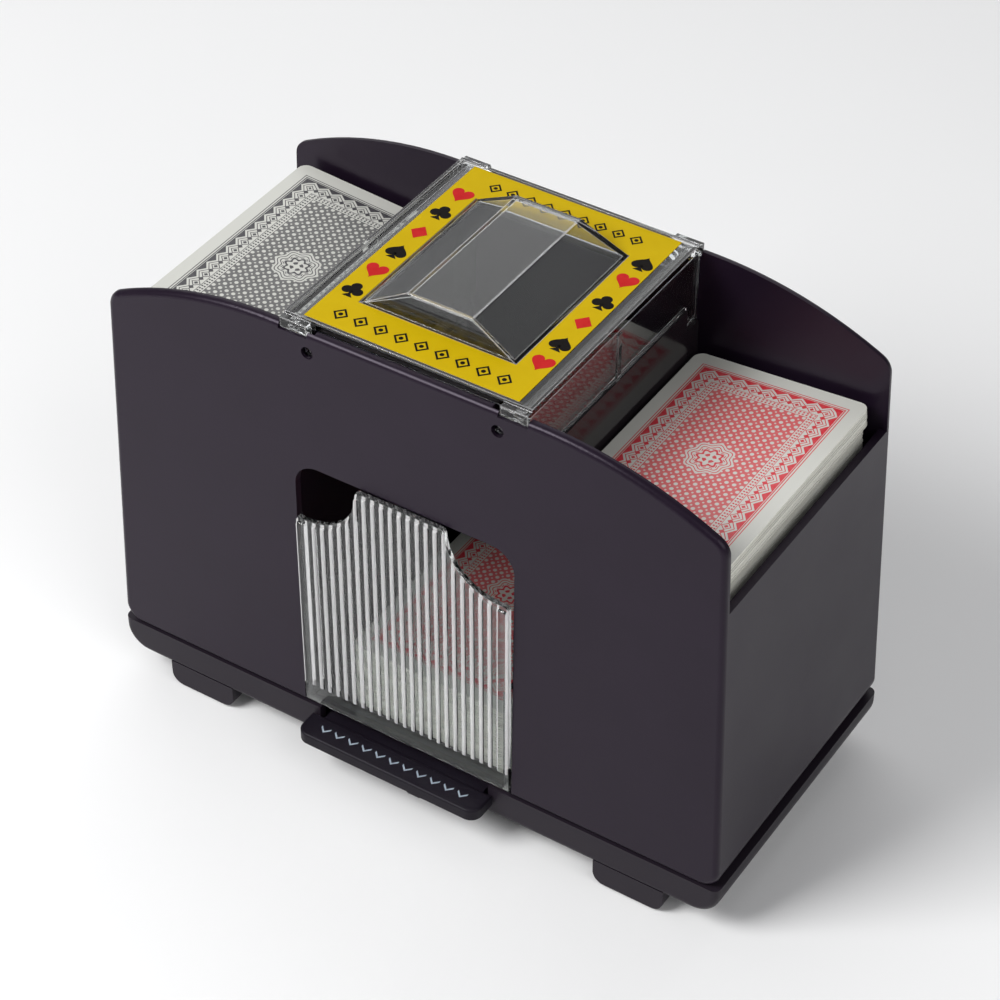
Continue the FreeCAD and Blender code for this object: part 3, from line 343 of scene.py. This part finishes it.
def prism(bm, outline, low, high):
    """A closed prism over a flat outline, between two heights; gives its bottom and top."""
    rings = [[bm.verts.new((x, y, z)) for x, y in outline] for z in (low, high)]
    ends = bm.faces.new(list(reversed(rings[0]))), bm.faces.new(rings[1])
    for i in range(len(outline)):
        j = (i + 1) % len(outline)
        bm.faces.new((rings[0][i], rings[0][j], rings[1][j], rings[1][i]))
    return ends


def cuboid(bm, low, high):
    outline = [(low[0], low[1]), (high[0], low[1]), (high[0], high[1]), (low[0], high[1])]
    prism(bm, outline, low[2], high[2])


def softened(node, name, materials, width, angle, shortest=0.0):
    """A copy of a CAD node with flat faces merged and its sharp edges rounded.

    Edges longer than shortest that turn by more than the angle are rounded, and the
    rounded strips take the last of the materials. With shortest at 0 every such edge is,
    and the width shrinks to fit the shortest of them.
    """
    def copy_mesh(bm):
        bm.from_mesh(NODES[node].data)
        bmesh.ops.remove_doubles(bm, verts=bm.verts, dist=1e-6)
        bmesh.ops.dissolve_limit(bm, angle_limit=math.radians(1.0), verts=bm.verts,
                                 edges=bm.edges)
        sharp = [e for e in bm.edges if len(e.link_faces) == 2
                 and e.calc_face_angle(0) > math.radians(angle)
                 and e.calc_length() > shortest]
        for face in bm.faces:
            face.material_index = 0
        bmesh.ops.bevel(bm, geom=sharp, offset=width, offset_type="OFFSET", segments=2,
                        profile=0.5, affect="EDGES", clamp_overlap=shortest == 0,
                        material=len(materials) - 1)
    piece = make_piece(name, copy_mesh, materials, BODY_OF[node], (node,),
                       smooth=60.0)
    flat = piece.modifiers.new("flat_faces", "WEIGHTED_NORMAL")
    flat.weight, flat.keep_sharp = 100, True
    return piece


def rounded_rectangle(half_x, half_y, radius):
    points, steps = [], 5
    for cx, cy, start in ((1, 1, 0), (-1, 1, 90), (-1, -1, 180), (1, -1, 270)):
        for i in range(steps + 1):
            a = math.radians(start + 90 * i / steps)
            points.append((cx * (half_x - radius) + radius * math.cos(a),
                           cy * (half_y - radius) + radius * math.sin(a)))
    return points


# ------------------------------------------------------------------ playing cards
TILT = math.radians(4.3)
CARD_PITCH = 0.28 * MM
CARD_CORNER = 3.0 * MM
CARD_GAP = 0.012 * MM
STACK_MARGIN = 0.35 * MM
SLIPPED_SHARE = 0.62
SLIP = 1.3 * MM


def card_stack(name, node, back, tilt, shift_of):
    """A stack of single cards in the place of a CAD block, the top one back upward.

    The block's length and thickness come from its box, which a tilt makes larger. Each
    card's shift and turn come from shift_of, by its share of the stack's height.
    """
    low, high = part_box(node)
    width, height = high.x - low.x, high.z - low.z
    c, s = math.cos(abs(tilt)), math.sin(abs(tilt))
    length = (c * width - s * height) / (c * c - s * s)
    thick = (c * height - s * width) / (c * c - s * s)
    half_x, half_y = length / 2 - STACK_MARGIN, (high.y - low.y) / 2 - STACK_MARGIN
    count = int(thick / CARD_PITCH)
    matrix = Matrix.Translation((low + high) / 2) @ Matrix.Rotation(tilt, 4, "Y")

    def cards(bm):
        for i in range(count):
            dx, dy, turn = shift_of(i / (count - 1))
            outline = []
            for x, y in rounded_rectangle(half_x, half_y, CARD_CORNER):
                outline.append((x * math.cos(turn) - y * math.sin(turn) + dx,
                                x * math.sin(turn) + y * math.cos(turn) + dy))
            bottom = -thick / 2 + thick * i / count
            top = bottom + thick / count - CARD_GAP
            under, upper = prism(bm, outline, bottom, top)
            under.material_index = 1
            upper.material_index = 2 if i == count - 1 else 1
    return make_piece(name, cards, [CARD_EDGE, CARD_FACE, back], BODY_OF[node],
                      (node,), matrix)


HALF_CARD = (28.53, 43.3)
RED_BACK = card_back("card_back_red", (0.56, 0.018, 0.032), *HALF_CARD)
BLACK_BACK = card_back("card_back_black", (0.030, 0.028, 0.034), *HALF_CARD)


def tidy_stack(share):
    jitter = 0.12 * MM
    return rng.uniform(-jitter, jitter), rng.uniform(-jitter, jitter), 0.0


def slipped_stack(share):
    """The right deck, where the cards under the top ones have slipped inward together."""
    dx, dy, turn = tidy_stack(share)
    if share < SLIPPED_SHARE:
        dx -= SLIP
    return dx, dy, turn


def loose_pile(share):
    jitter = 0.3
    return rng.uniform(-jitter, jitter) * MM, rng.uniform(-jitter, jitter) * MM, 0.0


card_stack("right_deck_cards", "right_deck", RED_BACK, -TILT, slipped_stack)
card_stack("left_deck_cards", "left_deck", BLACK_BACK, TILT, tidy_stack)
card_stack("shuffled_pile", "tray_cards", RED_BACK, 0.0, loose_pile)


# ------------------------------------------------------------------ clear tray
def tray_piece():
    """Tray whose scalloped front has half-round ribs and a raised strip down each side.

    The ribs and the strips' rounded edges are milky, a painted highlight in place of the
    reflections on their curves. Distances along x are from the tray's middle.
    """
    low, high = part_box("tray")
    middle = (low.x + high.x) / 2
    half = (high.x - low.x) / 2
    ribs, rib_pitch, rib_half, rib_rise = 21, 3.05 * MM, 0.74 * MM, 0.8 * MM
    rib_bottom, rib_margin = 29.0 * MM, 1.5 * MM
    tongue, tongue_corner, corner = 15.4 * MM, 1.4 * MM, 1.5 * MM
    centre_x, centre_z, scallop = 33.4 * MM, 114.0 * MM, 18.0 * MM
    face_y, back_y = low.y + rib_rise, low.y + 2.15 * MM
    strip, chamfer = half - 4.0 * MM, 0.3 * MM
    rib_samples, corner_samples, rib_rows = 14, 6, 8

    def corner_drop(x, edge, radius):
        """How far a corner of that radius falls away at a distance from the middle."""
        into = max(abs(x) - (edge - radius), 0.0)
        return radius - math.sqrt(max(radius ** 2 - into ** 2, 0.0))

    def top_at(x):
        if abs(x) <= tongue:
            return high.z - corner_drop(x, tongue, tongue_corner)
        if abs(x) >= centre_x:
            return centre_z - scallop - corner_drop(x, half, corner)
        return centre_z - math.sqrt(max(scallop ** 2 - (abs(x) - centre_x) ** 2, 0.0))

    def rib_at(x):
        nearest = round(x / rib_pitch) * rib_pitch
        off = abs(x - nearest) / rib_half
        if abs(x) > strip:
            into = min((abs(x) - strip) / rib_half, (half - abs(x)) / rib_half, 1.0)
            return math.sqrt(1 - (1 - into) ** 2)
        if off >= 1 or abs(nearest) > (ribs - 1) / 2 * rib_pitch + 1e-6:
            return 0.0
        return math.sqrt(1 - off * off)

    def quarter(edge, radius):
        """Places across a rounded corner, the last a twentieth of a millimetre in."""
        turns = [math.pi / 2 * i / corner_samples for i in range(corner_samples)]
        return [edge - radius * (1 - math.sin(a)) for a in turns]

    first = -(ribs / 2) * rib_pitch
    xs = [first + rib_pitch * i / rib_samples for i in range(ribs * rib_samples + 1)]
    for side in (-1, 1):
        places = [half - chamfer, centre_x]
        places += [tongue + offset * MM for offset in (-0.02, 0.02, 0.3)]
        places += [strip + rib_half * i / corner_samples for i in range(corner_samples + 1)]
        places += quarter(half, corner) + quarter(tongue, tongue_corner)
        xs += [side * x for x in places]
    xs = sorted(set(round(x, 7) for x in xs))

    def rows_at(x):
        """Heights up a column, and the share of the rib's rise at each."""
        top = top_at(x)
        start, stop = rib_bottom + rib_half, top - rib_margin - rib_half
        turns = [i / 5 * math.pi / 2 for i in range(6)]
        rows = [(low.z, 0.0), (low.z + 0.4 * MM, 0.0), (rib_bottom - 0.9 * MM, 0.0),
                (rib_bottom, 0.0)]
        rows += [(start - rib_half * math.cos(a), math.sin(a)) for a in turns[1:]]
        rows += [(start + (stop - start) * i / rib_rows, 1.0) for i in range(1, rib_rows)]
        rows += [(stop + rib_half * math.sin(a), math.cos(a)) for a in turns]
        return rows + [(top - 0.4 * MM, 0.0), (top, 0.0)]

    def ribbed_front(bm):
        front, back = [], []
        for x in xs:
            rise = rib_at(x)
            rows = rows_at(x)
            front.append([bm.verts.new((middle + x, face_y - rise * share * rib_rise
                                        + (chamfer if k in (0, len(rows) - 1) else 0.0), z))
                          for k, (z, share) in enumerate(rows)])
            back.append([bm.verts.new((middle + x, back_y, z)) for z, share in rows])
        for i in range(len(xs) - 1):
            x = (xs[i] + xs[i + 1]) / 2
            # The ribs and the strips' edges take the milky painted highlight, and the strips' flat
            # middles are clear.
            raised = rib_at(x) > 0 and min(abs(x) - strip, half - abs(x)) < rib_half
            shares = [share for z, share in rows_at(x)]
            for k in range(len(front[i]) - 1):
                face = bm.faces.new((front[i][k], front[i + 1][k], front[i + 1][k + 1],
                                     front[i][k + 1]))
                face.material_index = int(raised and shares[k] + shares[k + 1] > 0)
                bm.faces.new((back[i][k + 1], back[i + 1][k + 1], back[i + 1][k], back[i][k]))
            for k in (0, -1):
                bm.faces.new((front[i][k], back[i][k], back[i + 1][k], front[i + 1][k]))
        for i in (0, -1):
            for k in range(len(front[i]) - 1):
                bm.faces.new((front[i][k], front[i][k + 1], back[i][k + 1], back[i][k]))

    def floor_and_walls(bm):
        wall, gap = 1.5 * MM, 0.02 * MM
        side_x, rear = half - 0.5 * MM, high.y
        floor_top, side_top, back_top = low.z + wall, 62 * MM, 38 * MM
        cuboid(bm, (middle - side_x, back_y + gap, low.z), (middle + side_x, rear, floor_top))
        for sign in (-1, 1):
            a, b = sorted((middle + sign * side_x, middle + sign * (side_x - wall)))
            cuboid(bm, (a, back_y + gap, floor_top + gap), (b, rear, side_top))
        cuboid(bm, (middle - side_x + wall + gap, rear - wall, floor_top + gap),
               (middle + side_x - wall - gap, rear, back_top))

    def build(bm):
        ribbed_front(bm)
        floor_and_walls(bm)
    return make_piece("tray_moulding", build, [MATERIALS["tray_clear"], PAINTED_RIB_HIGHLIGHT], "tray",
                      ("tray",), smooth=50.0)


tray_piece()


# ------------------------------------------------------------------ lid and its label
# The lid's rounded edge strips take the milky lid-edge material, a painted highlight.
softened("lid", "lid_moulding", [MATERIALS["clear_plastic"], PAINTED_LID_EDGE_HIGHLIGHT], 0.25 * MM, angle=20.0,
         shortest=2.5 * MM)


def heart(size):
    points = []
    for i in range(40):
        t = 2 * math.pi * i / 40
        x = 16 * math.sin(t) ** 3
        y = (13 * math.cos(t) - 5 * math.cos(2 * t) - 2 * math.cos(3 * t) - math.cos(4 * t))
        points.append((x / 32 * size, (y + 2.5) / 30 * size))
    return [points]


def stem(size, top):
    return [(-0.24 * size, -0.5 * size), (0.24 * size, -0.5 * size), (0.06 * size, -0.3 * size),
            (0.05 * size, top * size), (-0.05 * size, top * size), (-0.06 * size, -0.3 * size)]


def spade(size):
    leaf = [(x * 0.95, 0.06 * size - y * 0.88) for x, y in heart(size)[0]]
    return [list(reversed(leaf)), stem(size, -0.12)]


def club(size):
    """Three round leaves, drawn as one outline seen from the middle, and a stem."""
    leaves = [(0.0, 0.24, 0.235), (-0.245, -0.08, 0.235), (0.245, -0.08, 0.235), (0, 0, 0.12)]
    points = []
    for i in range(90):
        a = 2 * math.pi * i / 90
        dx, dy = math.cos(a), math.sin(a)
        reach = 0.0
        for cx, cy, r in leaves:
            forward, across = cx * dx + cy * dy, cx * dy - cy * dx
            if abs(across) < r:
                reach = max(reach, forward + math.sqrt(r * r - across * across))
        points.append((dx * reach * size, dy * reach * size))
    return [points, stem(size, -0.1)]


def diamond(size):
    return [[(0, -0.46 * size), (0.40 * size, 0), (0, 0.46 * size), (-0.40 * size, 0)]]


PIPS = {"heart": heart, "spade": spade, "club": club, "diamond": diamond}


def label_prints():
    """Suit pips down both sides and plain ornament bands front and back, as thin prints.

    Places and sizes are in millimetres from the label's middle.
    """
    low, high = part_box("label_sheet")
    middle = (low + high) / 2
    base, top = high.z + 0.005 * MM, high.z + 0.05 * MM
    left = ("heart", "club", "diamond", "spade", "heart", "club")
    right = ("spade", "heart", "club", "diamond", "spade", "heart")
    spots_y = (28.5, 18.4, 6.8, -4.2, -15.5, -26.0)
    columns = ((-30.5, left), (31.6, right))

    def pips(kinds):
        def build(bm):
            for x, names in columns:
                for y, kind in zip(spots_y, names):
                    if kind not in kinds:
                        continue
                    for outline in PIPS[kind](7.0 * MM):
                        spot = [(middle.x + x * MM + px, middle.y + y * MM + py)
                                for px, py in outline]
                        prism(bm, spot, base, top)
        return build
    make_piece("label_red_pips", pips(("heart", "diamond")), [PRINT_RED], "lid")
    make_piece("label_black_pips", pips(("spade", "club")), [PRINT_BLACK], "lid")

    def ornament(bm):
        links, inner_share = 9, 0.68
        for y, span, size in ((-37.2, 27.0, 1.0), (37.2, 24.0, 0.9)):
            for i in range(links):
                x = span * (2 * i / (links - 1) - 1)
                cx, cy = middle.x + x * MM, middle.y + y * MM
                wide, tall = 2.5 * size * MM, 2.7 * size * MM
                outer = [(cx - wide, cy), (cx, cy - tall), (cx + wide, cy), (cx, cy + tall)]
                inner = [(cx + (px - cx) * inner_share, cy + (py - cy) * inner_share)
                         for px, py in outer]
                for k in range(4):
                    j = (k + 1) % 4
                    prism(bm, [outer[k], outer[j], inner[j], inner[k]], base, top)
                dot = [(cx + 0.7 * size * MM * math.cos(a * math.pi / 6),
                        cy + 0.7 * size * MM * math.sin(a * math.pi / 6)) for a in range(12)]
                prism(bm, dot, base, top)
    make_piece("label_ornament", ornament, [PRINT_BLACK], "lid")


label_prints()


# ------------------------------------------------------------------ press lever
softened("press_lever", "lever_moulding", [MATERIALS["lever_black"]], 0.2 * MM, angle=50.0)


def lever_marks():
    """A row of small chevrons that point down at the bar, in pale print."""
    low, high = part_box("press_lever")
    bar_middle_y = low.y + 4.7 * MM
    top_z = 17.3 * MM
    middle_x = (low.x + high.x) / 2
    count, pitch = 11, 5.0 * MM
    wide, tall, thick = 1.7 * MM, 1.25 * MM, 0.75 * MM

    def build(bm):
        for i in range(count):
            cx = middle_x + (i - (count - 1) / 2) * pitch
            for sign in (-1, 1):
                arm = [(cx, bar_middle_y - tall), (cx + sign * wide, bar_middle_y + tall - thick),
                       (cx + sign * wide, bar_middle_y + tall), (cx, bar_middle_y - tall + thick)]
                prism(bm, arm if sign > 0 else list(reversed(arm)),
                      top_z + 0.005 * MM, top_z + 0.04 * MM)
    make_piece("lever_chevrons", build, [PRINT_PALE], "lever")


lever_marks()


# ------------------------------------------------------------------ carried-over CAD nodes
MATERIALS.update({"cards_red": CARD_FACE, "cards_black": CARD_FACE, "cards_pile": CARD_FACE})
for node_name, node_object in NODES.items():
    node_object.data.materials.clear()
    node_object.data.materials.append(MATERIALS[SLOT_OF[node_name]])


# ------------------------------------------------------------------ studio
def floor():
    mesh = bpy.data.meshes.new("floor")
    size = 6.0
    mesh.from_pydata([(-size, -size, 0), (size, -size, 0), (size, size, 0), (-size, size, 0)], [],
                     [(0, 1, 2, 3)])
    plane = add_object("floor", mesh)
    mesh.materials.append(surface("floor_paper", (0.86, 0.86, 0.86), (0.84, 0.84, 0.84), 0.9,
                                  patch=3.0, depth=0.00001))


def aim(item, sight):
    """Turns a light or camera to look along a direction."""
    item.rotation_mode = "QUATERNION"
    item.rotation_quaternion = sight.to_track_quat("-Z", "Y")


def area_light(name, size, power, azimuth, elevation, distance):
    """A soft square light that looks at the object's middle; azimuth 0 is the front."""
    data = bpy.data.lights.new(name, "AREA")
    data.size, data.energy = size, power
    lamp = add_object(name, data)
    a, e = math.radians(azimuth), math.radians(elevation)
    away = Vector((math.sin(a) * math.cos(e), -math.cos(a) * math.cos(e), math.sin(e)))
    lamp.location = Vector((0, 0, 0.09)) + away * distance
    aim(lamp, -away)


floor()
area_light("back_left_box", 2.4, 18.0, -147, 42, 2.2)
area_light("front_left_box", 0.7, 23.0, -34, 43, 1.5)
area_light("right_fill", 1.2, 9.0, 70, 36, 1.6)
world = bpy.data.worlds.new("studio")
world.use_nodes = True
world.node_tree.nodes["Background"].inputs["Color"].default_value = (0.95, 0.96, 1.0, 1)
world.node_tree.nodes["Background"].inputs["Strength"].default_value = 0.19
scene.world = world
scene.view_settings.view_transform = "Standard"

camera_data = bpy.data.cameras.new("camera")
camera_data.sensor_width = 36.0
camera_data.lens = 105.72
camera = add_object("camera", camera_data)
camera.location = (0.36323, -0.55487, 0.65732)
aim(camera, Vector((0.010498, -0.008924, 0.097794)) - camera.location)
scene.camera = camera
